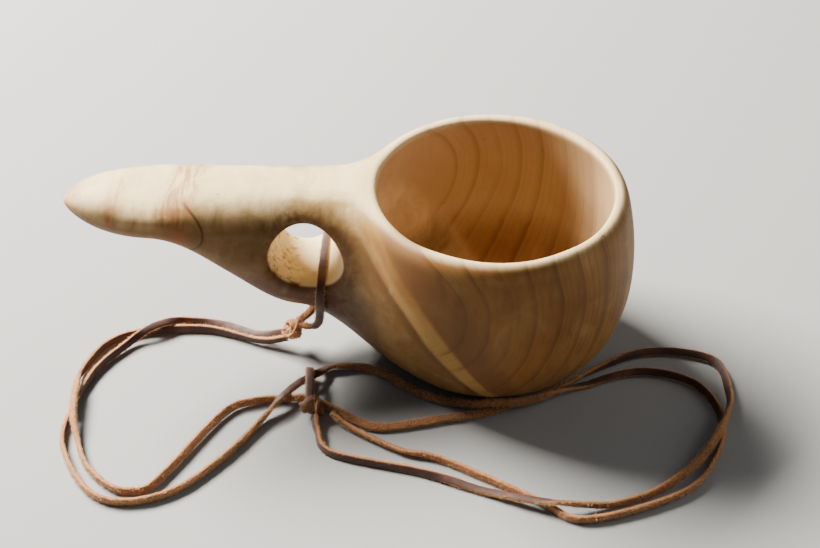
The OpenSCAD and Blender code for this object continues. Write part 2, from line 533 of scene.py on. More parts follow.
        # Dark stains on the bar under the hole and in a ragged halo round it.
        ragged = w.noise(p.at, 0.12, 4.0, 1.5)
        low = w.product(w.remap(p.z, 47.0, 26.0), w.stripe(p.x, -104.0, -84.0, -50.0, -38.0),
                        w.remap(ragged, 0.34, 0.56, 0.4, 0.95))
        halo = w.product(w.remap(p.clear, 21.0, 15.0), w.remap(ragged, 0.4, 0.62, 0.0, 0.6))
        stain = w.product(w.maths("MAXIMUM", low, halo), w.remap(p.clear, 12.2, 12.9))
        body = w.mix(stain, body, self.shade)
        # Painted light: the hole's wall is painted pale where light shines through from behind. It is
        # torn on the left.
        body = w.mix(w.remap(p.clear, 12.6, 12.0, 0.0, 0.9), body, self.painted_light_pale)
        torn = w.product(w.remap(w.noise(p.at, 0.55, 3.0), 0.54, 0.64),
                         w.remap(p.clear, 12.6, 12.0), w.remap(p.x, -61.0, -67.0), 0.6)
        body = w.mix(torn, body, self.red)
        # Two reddish bands of streaks cross the grip.
        across = w.vector("DOT_PRODUCT", p.at, (1.0, -0.22, 0.0))
        fine = w.noise(w.vector("MULTIPLY", p.bent, (0.5, 0.08, 0.1)), 1.0, 4.0)
        for left, right, share in ((-125.0, -116.5, 0.55), (-108.0, -93.0, 0.7)):
            inside = w.stripe(across, left, left + 4.0, right - 4.0, right)
            body = w.mix(w.product(inside, w.remap(fine, 0.4, 0.62, 0.1, share)), body, self.red)
        # Half a dark ring marks a branch.
        off = w.maths("ABSOLUTE", w.maths("SUBTRACT", w.away(p.at, *self.knot_at, 1.3), 11.5))
        arc = w.product(w.remap(off, 0.7, 0.1), w.remap(p.x, -103.0, -97.0),
                        w.remap(p.y, -4.0, -9.0), 0.75)
        return w.mix(arc, body, self.shade)

    def _rings(self, w: Wires, p: WoodPlace) -> Socket:
        """Draw the growth rings: a soft dark line each, with finer ones between.

        Args:
            w: The material's wires.
            p: Where the point lies.

        Returns:
            A socket with the strength of the lines, at most 1.
        """
        away = w.away(p.bent, *self.heart)
        shown = w.product(w.remap(away, 13.0, 23.0), w.remap(p.beyond, -2.5, 3.5, 1.0, 0.2))
        lines = []
        for spacing, strength in ((self.ring_mm, 0.7), (self.ring_mm / 4.2, 0.34)):
            count = w.maths("DIVIDE", away, spacing)
            line = w.maths("POWER", w.stripe(w.maths("FRACT", count), 0.45, 0.93, 0.93, 1.0), 2.4)
            chance = w.node("ShaderNodeTexWhiteNoise", {"noise_dimensions": "1D"},
                            {"W": w.maths("FLOOR", count)}).outputs["Value"]
            lines.append(w.product(line, w.maths("MULTIPLY_ADD", chance, strength * 0.6,
                                                 strength * 0.4)))
        # The finer lines are clearer far from the heart.
        fine = w.product(lines[1], w.remap(p.x, 5.0, 38.0, 0.7, 1.7))
        fade = w.remap(w.noise(p.bent, 0.05, 2.0), 0.3, 0.6, 0.6, 1.0)
        return w.product(w.maths("MAXIMUM", lines[0], fine), shown, fade)


@dataclass(frozen=True)
class CutLeather:
    """Vegetable-tanned leather lace, cut from a hide.

    One face is the smooth, shiny grain, and the other face and both edges are
    the raw, fuzzy flesh, which is paler and more orange.

    Attributes:
        grain: Colour of the smooth face.
        worn: Colour of the smooth face where it is rubbed.
        flesh: Colour of the raw face.
        edge: Colour of the cut edges.
        fluff: Colour of the loose fibres.
        dark: Colour of the creases.
    """

    grain: str = "#402016"
    worn: str = "#68392a"
    flesh: str = "#a2683c"
    edge: str = "#b67c48"
    fluff: str = "#dcb488"
    dark: str = "#3b2014"

    def material(self) -> bpy.types.Material:
        """Build the leather's material.

        Returns:
            The material. It reads the section and run that the sweep stores.
        """
        material, w, shader = new_material("leather, cut lace", IOR=1.45, Sheen_Weight=0.12,
                                           Sheen_Roughness=0.5)
        section, run = (w.node("ShaderNodeAttribute", {"attribute_name": name}).outputs
                        for name in ("section", "run"))
        across, deep, _ = w.node("ShaderNodeSeparateXYZ", links={0: section["Vector"]}).outputs
        where = w.node("ShaderNodeCombineXYZ", links={0: across, 1: deep, 2: run["Fac"]}).outputs[0]
        mottled = w.noise(where, 0.09, 3.0)
        fibres = w.noise(where, 2.9, 3.0, rough=0.8)
        ragged = w.product(w.maths("SUBTRACT", fibres, 0.5), 0.5)
        to_grain = w.remap(w.maths("ADD", deep, ragged), 0.35, 0.75)
        raw = w.mix(w.remap(w.maths("ABSOLUTE", across), 1.1, 1.45), self.flesh, self.edge)
        raw = w.mix(w.remap(mottled, 0.52, 0.38, 0.0, 0.35), raw, self.dark)
        raw = w.mix(w.remap(fibres, 0.34, 0.52, 0.5, 0.0), raw, self.dark)
        raw = w.mix(w.remap(fibres, 0.5, 0.68, 0.0, 0.6), raw, self.fluff)
        smooth = w.mix(w.remap(mottled, 0.46, 0.72), self.grain, self.worn)
        smooth = w.mix(w.remap(fibres, 0.35, 0.55, 0.4, 0.0), smooth, self.dark)
        skin = w.mix(to_grain, raw, smooth)
        skin = w.mix(w.remap(across, 2.0, 2.5), skin, self.fluff)
        w.finish(shader, skin, w.remap(to_grain, 0.0, 1.0, 0.9, 0.56), fibres, 0.6, 0.15)
        return material


# --------------------------------------------------------------------------
# The carved cup
# --------------------------------------------------------------------------

@dataclass
class CarvedCup:
    """The bowl and its handle, carved from one piece of birch.

    Sizes are in millimetres. The handle points along -X.

    Attributes:
        rim_h: Height of the rim above the table.
        rim_r: Outer radius of the rim.
        belly_r: Greatest radius of the belly.
        belly_h: Height of the belly's widest ring.
        mouth_r: Inner radius of the mouth.
        bottom_t: Thickness of the bottom.
        reach: Distance from the bowl's axis to the tip of the handle.
        hole_r: Radius of the finger hole.
        hole_x: Place of the hole's axis along X.
        hole_z: Height of the hole's axis.
        neck_blend: Width of the rounding where the handle meets the bowl.
        top_round: Width of the rounding along the top.
        foot_round: Width of the rounding round the foot.
        rim_round: Width of the rounding from the rim into the hollow.
        hole_round: Width of the rounding round the finger hole.
        tool_marks: Depth of the knife's slow waves.
        cell: Spacing of the surface's faces.
        space: Lowest and highest corner of the space that is searched.
        nicks: Number of torn nicks in the finger hole's wall.
        nick_turn: Range of their angles round the hole's axis in degrees.
        nick_along: Range of their places along Y.
        nick_deep: Range of their depths.
        nick_long: Range of their half lengths.
        nick_wide: Range of their half widths.
        nick_seed: Fixes their places.
        finish: The wood.
    """

    rim_h: float = 65.0
    rim_r: float = 42.4
    belly_r: float = 46.5
    belly_h: float = 36.0
    mouth_r: float = 37.8
    bottom_t: float = 8.0
    reach: float = 139.6
    hole_r: float = 11.6
    hole_x: float = -61.2
    hole_z: float = 45.0
    neck_blend: float = 9.0
    top_round: float = 5.0
    foot_round: float = 1.2
    rim_round: float = 3.0
    hole_round: float = 4.0
    tool_marks: float = 0.16
    cell: float = 0.85
    space: tuple[Point, Point] = ((-143.0, -50.0, -3.0), (50.0, 50.0, 69.0))
    nicks: int = 46
    nick_turn: tuple[float, float] = (150, 262)
    nick_along: tuple[float, float] = (-13, 3)
    nick_deep: tuple[float, float] = (0.8, 1.5)
    nick_long: tuple[float, float] = (1.2, 2.4)
    nick_wide: tuple[float, float] = (0.9, 1.5)
    nick_seed: int = 11
    finish: OiledBirch = field(default_factory=OiledBirch)

    def outline(self, flat_r: float, low: float, wide: tuple[float, float], top_r: float,
                power: float) -> Array:
        """Trace a turned shape: a superellipse up to its widest ring, then a slow curve in.

        Args:
            flat_r: Radius at the lowest point.
            low: Height of the lowest point.
            wide: Radius and height of the widest ring.
            top_r: Radius at the rim's height.
            power: The superellipse's power. A higher one is squarer.

        Returns:
            Radius and height of each point, from the lowest up.
        """
        (r, h), a = wide, np.radians(np.linspace(0, 90, 40))
        t = np.linspace(0, 1, 30)[1:]
        return np.concatenate([
            np.stack([flat_r + (r - flat_r) * np.sin(a) ** (2 / power),
                      h - (h - low) * np.cos(a) ** (2 / power)], 1),
            np.stack([r - (r - top_r) * t * t, h + (self.rim_h - h) * t], 1)])

    def belly_outline(self) -> Array:
        """Trace the outside of the bowl from the axis up.

        Returns:
            Radius and height of each point.
        """
        cut = 2.0
        side = self.outline(19.0, -cut, (self.belly_r, self.belly_h), self.rim_r, 2.05)
        return np.concatenate([[[0, -cut]], side, [[self.rim_r - 0.4, self.rim_h + 16]]])

    def hollow_outline(self) -> Array:
        """Trace the inside of the bowl from its floor up.

        Returns:
            Radius and height of each point.
        """
        side = self.outline(0.0, self.bottom_t, (self.mouth_r + 2.2, self.belly_h + 4),
                            self.mouth_r, 2.3)
        return np.concatenate([side, [[self.mouth_r, self.rim_h + 30]]])

    def half_width(self, s: Array) -> Array:
        """Half the handle's width at a distance s from its tip."""
        grip = np.clip(1 - np.clip(s, 0.02, 54) / 54, 0, 1)
        return 15.7 * (1 - grip ** 2.6) ** 0.59 + 16.7 * (np.maximum(s - 70, 0) / 50) ** 2

    def underside(self, s: Array) -> Array:
        """Height of the handle's underside at a distance s from its tip."""
        return (48.8 + 9.6 * np.maximum(1 - s / 26, 0) ** 3 - 31.4 * ease((s - 28) / 48)
                - 19.4 * ease((s - 74) / 36))

    def topside(self, s: Array) -> Array:
        """Height of the handle's top at a distance s from its tip."""
        return self.rim_h - 4.5 * np.maximum(1 - s / 16, 0) ** 3

    def sideways(self, s: Array) -> Array:
        """How far the handle's middle lies behind the bowl's axis."""
        return 1.5 * ease((s - 30) / 40) * (1 - ease((s - 80) / 30))

    def carve(self, x: Array, y: Array, z: Array) -> Array:
        """Give the signed distance to the cup's surface, negative in the wood.

        Args:
            x: Places along X in mm.
            y: Places along Y in mm.
            z: Places along Z in mm.

        Returns:
            The field at each place, about a distance in mm.
        """
        from_axis = np.hypot(x, y)
        back = y - 1.6 * ease((z - 40) / 24) * ease(y / 16)
        bowl = self._belly(np.hypot(x, back), z)
        s = x + self.reach
        width, low, high = self.half_width(s), self.underside(s), self.topside(s)
        middle = low + (high - low) * 0.62
        aside = back - self.sideways(s)
        upper = z > middle
        tall = np.where(upper, high - middle, middle - low)
        power = np.where(upper, np.where(aside > 0, 3.0, 2.1), 2.1)
        ratio = (np.abs(aside / width) ** power + np.abs((z - middle) / tall) ** power
                 + 1e-12) ** (1 / power)
        grip = (ratio - 1) * np.minimum(width, tall)
        grip = np.maximum(grip, np.maximum(-s, x + 20))
        wood = soft_min(bowl, grip, self.neck_blend)
        top = z - self.rim_h - 3 * np.clip((-x - 36) / 30, 0, 1)
        wood = soft_max(wood, top, self.top_round)
        wood = soft_max(wood, -z, self.foot_round)
        wood = soft_max(wood, -self._hollow(from_axis, z), self.rim_round)
        hole = np.hypot(x - self.hole_x, z - self.hole_z) - self.hole_r
        wood = soft_max(wood, -hole, self.hole_round)
        waver = (self.tool_marks * np.sin(x / 5.3 + 1.1) * np.sin(y / 6.1 + 0.4)
                 * np.sin(z / 5.7 + 2.0))
        return self._nick(wood + waver, x, y, z)

    def _nick(self, wood: Array, x: Array, y: Array, z: Array) -> Array:
        """Tear small rough nicks in the left wall of the finger hole.

        Args:
            wood: The field before the nicks.
            x: Places along X in mm.
            y: Places along Y in mm.
            z: Places along Z in mm.

        Returns:
            The field with the nicks.
        """
        near = (np.hypot(x - self.hole_x, z - self.hole_z) < self.hole_r + 3) & (x < self.hole_x)
        if not near.any():
            return wood
        out = wood.copy()
        px, py, pz, torn = x[near], y[near], z[near], wood[near]
        dice = np.random.default_rng(self.nick_seed)
        for _ in range(self.nicks):
            angle = math.radians(dice.uniform(*self.nick_turn))
            along, deep = dice.uniform(*self.nick_along), dice.uniform(*self.nick_deep)
            length, wide = dice.uniform(*self.nick_long), dice.uniform(*self.nick_wide)
            cx = self.hole_x + self.hole_r * math.cos(angle)
            cz = self.hole_z + self.hole_r * math.sin(angle)
            far = np.sqrt(((px - cx) / wide) ** 2 + ((py - along) / length) ** 2
                          + ((pz - cz) / wide) ** 2)
            torn = torn + deep * np.clip(1 - far, 0, 1)
        out[near] = torn
        return out

    def build(self) -> bpy.types.Object:
        """Make the cup's surface as one closed mesh.

        Returns:
            The cup.
        """
        self._belly = OutlineField(self.belly_outline())
        self._hollow = OutlineField(self.hollow_outline())
        points, faces = surface_of(self.carve, *self.space, self.cell)
        points[:, 2] = np.maximum(points[:, 2], 0.0)
        return mesh_object("cup_carved", points * MM, faces)

    def dress(self, piece: bpy.types.Object) -> None:
        """Give the cup its wood and stand it in for the plain solid.

        Args:
            piece: The cup.
        """
        piece.data.materials.append(self.finish.material())
        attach(piece, ROOT)
        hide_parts("cup")


class OutlineField:
    """Signed distance to a turned shape, looked up from a grid of its outline.

    Attributes:
        step: Spacing of the grid in mm.
        low_z: Lowest height of the grid.
        grid: The distances.
    """

    def __init__(self, outline: Array, step: float = 0.5, low_z: float = -8.0,
                 high_z: float = 74.0, wide: float = 62.0) -> None:
        """Measure the distances.

        Args:
            outline: Radius and height of the points from the axis up.
            step: Spacing of the grid in mm.
            low_z: Lowest height of the grid.
            high_z: Highest height of the grid.
            wide: Largest radius of the grid.
        """
        self.step, self.low_z = step, low_z
        r, z = np.meshgrid(np.arange(0, wide, step), np.arange(low_z, high_z, step), indexing="ij")
        spots = np.stack([r.ravel(), z.ravel()], 1)
        nearest = np.full(len(spots), 1e9)
        inside = np.zeros(len(spots), bool)
        closed = np.concatenate([outline, [[0, outline[-1][1]], [0, outline[0][1]]]])
        for i in range(len(closed) - 1):
            a, b = closed[i], closed[i + 1]
            along = b - a
            if i < len(outline) - 1 and along @ along > 1e-12:
                t = np.clip((spots - a) @ along / (along @ along), 0, 1)[:, None]
                nearest = np.minimum(nearest, ((spots - a - t * along) ** 2).sum(1))
            if a[1] != b[1]:
                reach = along[0] * (spots[:, 1] - a[1]) / along[1] + a[0]
                inside ^= ((a[1] > spots[:, 1]) != (b[1] > spots[:, 1])) & (spots[:, 0] < reach)
        distance = np.sqrt(nearest)
        distance[inside] *= -1
        self.grid = distance.reshape(r.shape)

    def __call__(self, r: Array, z: Array) -> Array:
        """Look up the distance.

        Args:
            r: Radii in mm.
            z: Heights in mm.

        Returns:
            The distance at each place in mm.
        """
        u = np.clip(r / self.step, 0, self.grid.shape[0] - 1.001)
        v = np.clip((z - self.low_z) / self.step, 0, self.grid.shape[1] - 1.001)
        i, j = u.astype(int), v.astype(int)
        fu, fv = u - i, v - j
        g = self.grid
        return ((g[i, j] * (1 - fu) + g[i + 1, j] * fu) * (1 - fv)
                + (g[i, j + 1] * (1 - fu) + g[i + 1, j + 1] * fu) * fv)


def surface_of(shape: Callable[[Array, Array, Array], Array], low: Point, high: Point,
               cell: float) -> tuple[Array, Array]:
    """Draw a closed skin of quads where a field is zero.

    A vertex is put in each cell that the surface crosses, at the mean of its
    crossings, and is then moved onto the surface along the field's slope.

    Args:
        shape: The field, negative inside.
        low: Lowest corner of the space.
        high: Highest corner of the space.
        cell: Side of a cell.

    Returns:
        The vertices and the quads.
    """
    axes = [np.arange(low[k], high[k] + cell, cell) for k in range(3)]
    values = shape(*np.meshgrid(*axes, indexing="ij"))
    inside = values < 0
    size = np.array(values.shape) - 1
    corners = [(i, j, k) for i in (0, 1) for j in (0, 1) for k in (0, 1)]
    filled = sum(inside[i:i + size[0], j:j + size[1], k:k + size[2]].astype(int)
                 for i, j, k in corners)
    crossed = (filled > 0) & (filled < 8)
    cells = np.argwhere(crossed)
    number = -np.ones(tuple(size), int)
    number[crossed] = np.arange(len(cells))
    total, hits = np.zeros((len(cells), 3)), np.zeros(len(cells))
    for corner in corners:
        for axis in range(3):
            if corner[axis]:
                continue
            other = list(corner)
            other[axis] = 1
            a = values[tuple((cells + corner).T)]
            b = values[tuple((cells + other).T)]
            change = (a < 0) != (b < 0)
            spot = np.tile(np.array(corner, float), (len(cells), 1))
            spot[:, axis] += np.where(change, a / (a - b + 1e-30), 0)
            total[change] += spot[change]
            hits[change] += 1
    points = (cells + total / hits[:, None]) * cell + np.array(low)
    return settle(shape, points), quads_of(inside, number, size)


def quads_of(inside: Array, number: Array, size: Array) -> Array:
    """Join the four cells round each crossed edge of the grid.

    Args:
        inside: Whether each grid point is in the shape.
        number: The vertex number of each cell.
        size: Number of cells along each axis.

    Returns:
        The quads, facing outwards.
    """
    quads = []
    for axis in range(3):
        u, v = (axis + 1) % 3, (axis + 2) % 3
        first = [slice(1, n) for n in size]
        first[axis] = slice(0, size[axis])
        second = list(first)
        second[axis] = slice(1, size[axis] + 1)
        a, b = inside[tuple(first)], inside[tuple(second)]
        edges = np.argwhere(a != b) + [s.start for s in first]
        du, dv = np.eye(3, dtype=int)[u], np.eye(3, dtype=int)[v]
        shifts = (0 * du, du, du + dv, dv)
        ring = np.stack([number[tuple((edges - shift).T)] for shift in shifts], 1)
        outward = a[a != b]
        ring[~outward] = ring[~outward][:, ::-1]
        quads.append(ring)
    return np.concatenate(quads)


def settle(shape: Callable[[Array, Array, Array], Array], points: Array) -> Array:
    """Move points onto the zero surface of a field.

    Args:
        shape: The field.
        points: The points, near the surface.

    Returns:
        The moved points.
    """
    tiny = 0.05
    for _ in range(4):
        slope = np.stack([
            (shape(*(points + tiny * step).T) - shape(*(points - tiny * step).T)) / (2 * tiny)
            for step in np.eye(3)], 1)
        steep = (slope ** 2).sum(1) + 1e-9
        points = points - slope * np.clip(shape(*points.T) / steep, -0.8, 0.8)[:, None]
    return points


# --------------------------------------------------------------------------
# The leather lace
# --------------------------------------------------------------------------

class Face(Enum):
    """Which face of the lace is outside where it winds round something."""

    GRAIN = 1.0
    FLESH = -1.0


LACE_WIDTH = 2.7
LACE_THICKNESS = 1.5
TUBE_RADIUS = 1.2
EYE_SETTLE = 0.85

# The routes of the model's plain tubes, in mm, with the lace's turn in degrees.
STRAND_P: list[tuple[float, float, float, float]] = [
    (-69.5, -3.3, 5.6, 150), (-79.5, -0.5, 2, 125), (-92.5, 5.5, 1.3, 120), (-104.5, 7, 1.6, 150),
    (-111, 4.2, 3.7, 120), (-117, 0.8, 3.7, 120), (-124, -5, 1.6, 150), (-134, -20, 1.3, 170),
    (-139.5, -46.5, 1.2, 180), (-135.5, -62, 1.3, 180), (-126, -75.5, 1.3, 180), (-114, -78.5, 1.3, 180),
    (-100, -73, 1.3, 180), (-86, -58, 1.3, 185), (-75.5, -42, 1.6, 170), (-69.5, -33.5, 3.9, 100),
    (-65.5, -27.5, 3.4, 80), (-61, -24, 3.5, 60), (-58, -20.6, 2.6, 60), (-53.5, -16.6, 1.5, 130),
    (-40, -18, 1.3, 200), (-22.5, -30.5, 1.3, 225), (-9, -35.5, 2, 225), (-1, -36.8, 3.7, 210),
    (6, -36.4, 3.7, 190), (14, -33.8, 2.8, 190), (27, -26.5, 1.4, 110), (50, -19, 1.3, 45),
    (67.5, -25, 1.3, 35), (74, -41, 1.2, 30), (69.5, -59.5, 1.2, 20), (57, -75, 1.3, 10),
    (26.5, -86, 1.3, 0), (11.5, -77.5, 1.2, 0), (-17, -60.5, 1.3, 0), (-30.5, -56, 1.3, 40),
    (-45.5, -47, 1.5, 20), (-53, -41.5, 3.4, 15)]
STRAND_Q: list[tuple[float, float, float, float]] = [
    (-69.5, -5.9, 4.9, 200), (-79, -3.7, 2, 190), (-98, 3, 1.3, 165), (-119, 1.5, 1.2, 155),
    (-131, -4.5, 1.3, 170), (-137.5, -18.5, 1.7, 180), (-138, -29, 3.6, 230), (-137.2, -41, 3.6, 230),
    (-134.5, -51, 1.5, 190), (-130, -62.5, 1.3, 180), (-122, -71.5, 1.3, 180), (-115, -74, 1.3, 185),
    (-107, -70, 1.3, 200), (-89, -40, 1.3, 225), (-79.5, -33.5, 1.3, 200), (-69, -32, 1.2, 180),
    (-61, -33.8, 3.3, 180), (-52, -37.5, 1.5, 185), (-44.5, -43, 1.3, 220), (-36, -45.5, 1.3, 250),
    (-16.5, -41.5, 1.3, 250), (-4, -38.8, 1.2, 250), (4, -35.4, 1.2, 250), (14, -31.4, 1.2, 260),
    (24, -25, 1.2, 300), (51, -9.5, 1.3, 400), (74.5, -12.5, 1.3, 405), (78, -30, 2.2, 395),
    (75.5, -42, 3.6, 365), (70, -53.5, 3.6, 310), (61.5, -64, 1.6, 310), (48.5, -74.5, 1.3, 355),
    (34, -80, 1.5, 365), (20, -81.5, 3.7, 395), (11, -79.7, 3.6, 450), (-6, -73, 1.3, 455),
    (-25, -65.5, 1.3, 520), (-52.5, -57.5, 1.3, 530), (-57.5, -47.5, 1.4, 520), (-58.5, -42, 2.6, 520)]
HANDLE_LOOP: list[Point] = [
    (-64.8, -5.4, 10.6), (-60.6, -7.2, 11.3), (-58.2, -8.9, 15), (-57.4, -12.2, 22.5),
    (-57.2, -15.6, 30), (-56.5, -11.5, 35.3), (-56, 2, 35.9), (-55.5, 15, 34.9),
    (-55.5, 19.2, 30), (-56.8, 14.5, 22), (-58.8, 8, 15), (-61, 1, 12.2),
    (-64.4, -2.6, 10.9)]
NOOSE_EYE: list[Point] = [
    (-60.7, -35.4, 1.3), (-60.9, -28, 1.25), (-61, -23.5, 1.2), (-61, -20.9, 1.8),
    (-61, -20.4, 3.6), (-61, -21, 5.3), (-60.9, -23.8, 5.9), (-60.6, -29, 5.7),
    (-60.4, -35.4, 4.9)]
LOOP_KNOT_AT: Point = (-67.3, -4.4, 8.2)
NOOSE_KNOT_AT: Point = (-59.4, -38.4, 3.9)


def smooth_through(points: Array, spacing: float) -> Array:
    """Draw a smooth line through points, with even steps.

    Args:
        points: The points, with as many columns as need smoothing together.
        spacing: Distance between the new points, over the first three columns.

    Returns:
        The points of the smooth line.
    """
    padded = np.concatenate([[2 * points[0] - points[1]], points, [2 * points[-1] - points[-2]]])
    pieces = []
    for i in range(1, len(padded) - 2):
        p0, p1, p2, p3 = padded[i - 1:i + 3]
        t = np.linspace(0, 1, 24, endpoint=False)[:, None]
        pieces.append(0.5 * (2 * p1 + (p2 - p0) * t + (2 * p0 - 5 * p1 + 4 * p2 - p3) * t ** 2
                             + (3 * p1 - p0 - 3 * p2 + p3) * t ** 3))
    fine = np.concatenate([*pieces, padded[-2:-1]])
    run = np.concatenate([[0], np.cumsum(np.linalg.norm(np.diff(fine[:, :3], axis=0), axis=1))])
    even = np.linspace(0, run[-1], max(int(run[-1] / spacing), 4) + 1)
    return np.stack([np.interp(even, run, fine[:, k]) for k in range(fine.shape[1])], 1)


def headings(line: Array) -> Array:
    """Give the unit direction of a line at each of its points."""
    along = np.gradient(line, axis=0)
    return along / np.linalg.norm(along, axis=1)[:, None]


def length_of(line: Array) -> float:
    """Measure a line's length."""
    return float(np.linalg.norm(np.diff(line, axis=0), axis=1).sum())


@dataclass
class LaceTree:
    """The node tree that sweeps the lace's section along its line.

    Attributes:
        width: Width of the lace in mm.
        thickness: Thickness of the lace in mm.
        corner: Radius of the section's corners in mm.
        uneven: How far the cut wanders, in mm.
        fibre: Length of the longest loose fibres in mm.
        per_m2: Number of fibres on a square metre of the raw faces.
        lift: Least height of the lace's skin above the table in mm.
        seed: Fixes the places of the fibres.
        tree: The tree, once it is built.
        sockets: The identifier of each of its inputs.
    """

    width: float = LACE_WIDTH
    thickness: float = LACE_THICKNESS
    corner: float = 0.6
    uneven: float = 0.10
    fibre: float = 1.0
    per_m2: float = 4.5e6
    lift: float = 0.02
    seed: int = 7
    tree: Optional[bpy.types.NodeTree] = None
    sockets: dict[str, str] = field(default_factory=dict)

    def build(self, leather: bpy.types.Material) -> "LaceTree":
        """Make the tree once, for every stretch of lace.

        Args:
            leather: The material that the lace takes.

        Returns:
            Itself.
        """
        tree = bpy.data.node_groups.new("lace sweep", "GeometryNodeTree")
        tree.interface.new_socket("Geometry", in_out="INPUT", socket_type="NodeSocketGeometry")
        for name, value, kind in (("Width", self.width * MM, "NodeSocketFloat"),
                                  ("Thickness", self.thickness * MM, "NodeSocketFloat"),
                                  ("Corner", self.corner * MM, "NodeSocketFloat"),
                                  ("Unevenness", self.uneven * MM, "NodeSocketFloat"),
                                  ("Fibres per square metre", self.per_m2, "NodeSocketFloat"),
                                  ("Fibre length", self.fibre * MM, "NodeSocketFloat"),
                                  ("Seed", self.seed, "NodeSocketInt")):
            socket = tree.interface.new_socket(name, in_out="INPUT", socket_type=kind)
            socket.default_value = value
            self.sockets[name] = socket.identifier
        tree.interface.new_socket("Geometry", in_out="OUTPUT", socket_type="NodeSocketGeometry")
        w = Wires(tree)
        given = w.node("NodeGroupInput").outputs
        line = w.node("GeometryNodeMeshToCurve", links={0: given["Geometry"]}).outputs[0]
        turned = w.node("GeometryNodeSetCurveNormal", {"mode": "FREE"},
                        {"Curve": line, "Normal": w.attribute("lay")}).outputs[0]
        so_far = w.node("GeometryNodeSplineParameter").outputs["Length"]
        measured = w.store("run", "FLOAT", turned, w.maths("MULTIPLY", so_far, 1000.0))
        swept = w.node("GeometryNodeCurveToMesh", {"in:Fill Caps": True},
                       {"Curve": measured, "Profile Curve": self._section(w, given)}).outputs[0]
        uneven = self._uneven(w, given, swept)
        shaded = w.node("GeometryNodeSetShadeSmooth", links={0: uneven}).outputs[0]
        joined = w.node("GeometryNodeJoinGeometry", links={0: shaded})
        tree.links.new(self._fibres(w, given, uneven), joined.inputs[0])
        real = w.node("GeometryNodeRealizeInstances", links={0: joined.outputs[0]}).outputs[0]
        raised = w.vector("MAXIMUM", w.node("GeometryNodeInputPosition").outputs[0],
                          (-1.0, -1.0, self.lift * MM))
        laid = w.node("GeometryNodeSetPosition", links={"Geometry": real, "Position": raised})
        dressed = w.node("GeometryNodeSetMaterial", {"in:Material": leather},
                         {0: laid.outputs[0]}).outputs[0]
        w.node("NodeGroupOutput", links={0: dressed})
        self.tree = tree
        return self

    def _section(self, w: Wires, given: bpy.types.NodeOutputs) -> Socket:
        """Draw the rounded rectangle of the lace's section, with its place stored.

        Args:
            w: The tree's wires.
            given: The tree's inputs.

        Returns:
            The section's curve.
        """
        quad = w.node("GeometryNodeCurvePrimitiveQuadrilateral", {"mode": "RECTANGLE"},
                      {"Width": given["Thickness"], "Height": given["Width"]}).outputs[0]
        rounded = w.node("GeometryNodeFilletCurve", {"mode": "POLY", "in:Count": 3},
                         {"Curve": quad, "Radius": given["Corner"]}).outputs[0]
        fine = w.node("GeometryNodeSubdivideCurve", {"in:Cuts": 1}, {"Curve": rounded}).outputs[0]
        place = w.node("GeometryNodeInputPosition").outputs[0]
        deep, across, _ = w.node("ShaderNodeSeparateXYZ", links={0: place}).outputs
        swapped = w.node("ShaderNodeCombineXYZ", links={0: across, 1: deep}).outputs[0]
        return w.store("section", "FLOAT_VECTOR", fine, w.scaled(swapped, 1000.0))

    def _uneven(self, w: Wires, given: bpy.types.NodeOutputs, swept: Socket) -> Socket:
        """Make the hand-cut lace a little uneven in width and thickness.

        Args:
            w: The tree's wires.
            given: The tree's inputs.
            swept: The lace's skin.

        Returns:
            The uneven skin.
        """
        waver = w.node("ShaderNodeTexNoise", {"in:Scale": 420.0, "in:Detail": 3.0}).outputs[0]
        reach = w.product(w.maths("SUBTRACT", waver, 0.5), given["Unevenness"], 4.0)
        shift = w.scaled(w.node("GeometryNodeInputNormal").outputs[0], reach)
        return w.node("GeometryNodeSetPosition",
                      links={"Geometry": swept, "Offset": shift}).outputs[0]

    def _fibres(self, w: Wires, given: bpy.types.NodeOutputs, skin: Socket) -> Socket:
        """Stand short fibres on the raw edges and the flesh side.

        Args:
            w: The tree's wires.
            given: The tree's inputs.
            skin: The lace's skin.

        Returns:
            The fibres.
        """
        _, deep, _ = w.node("ShaderNodeSeparateXYZ", links={0: w.attribute("section")}).outputs
        raw = w.node("FunctionNodeCompare",
                     {"data_type": "FLOAT", "operation": "LESS_THAN", 1: 0.55}, {0: deep}).outputs[0]
        spread = w.node("GeometryNodeDistributePointsOnFaces",
                        links={"Mesh": skin, "Selection": raw,
                               "Density": given["Fibres per square metre"], "Seed": given["Seed"]})
        cone = w.node("GeometryNodeMeshCone", {"in:Vertices": 3, "in:Radius Top": 0.02 * MM,
                                               "in:Radius Bottom": 0.07 * MM},
                      {"Depth": given["Fibre length"]}).outputs[0]
        # A section that no skin has tells the leather that this is a fibre.
        fibre = w.store("section", "FLOAT_VECTOR", cone, (3.0, 0.0, 0.0))
        tilt = w.node("FunctionNodeRandomValue", {"data_type": "FLOAT_VECTOR", "in:Seed": 3,
                                                  0: (-1.2, -1.2, -3.14), 1: (1.2, 1.2, 3.14)})
        turn = w.node("FunctionNodeEulerToRotation", links={0: tilt.outputs[0]}).outputs[0]
        leaning = w.node("FunctionNodeRotateRotation", {"rotation_space": "LOCAL"},
                         {0: spread.outputs["Rotation"], 1: turn}).outputs[0]
        length = w.node("FunctionNodeRandomValue",
                        {"data_type": "FLOAT", "in:Seed": 5, 2: 0.25, 3: 1.0}).outputs[1]
        return w.node("GeometryNodeInstanceOnPoints",
                      links={"Points": spread.outputs["Points"], "Instance": fibre,
                             "Rotation": leaning, "Scale": length}).outputs[0]

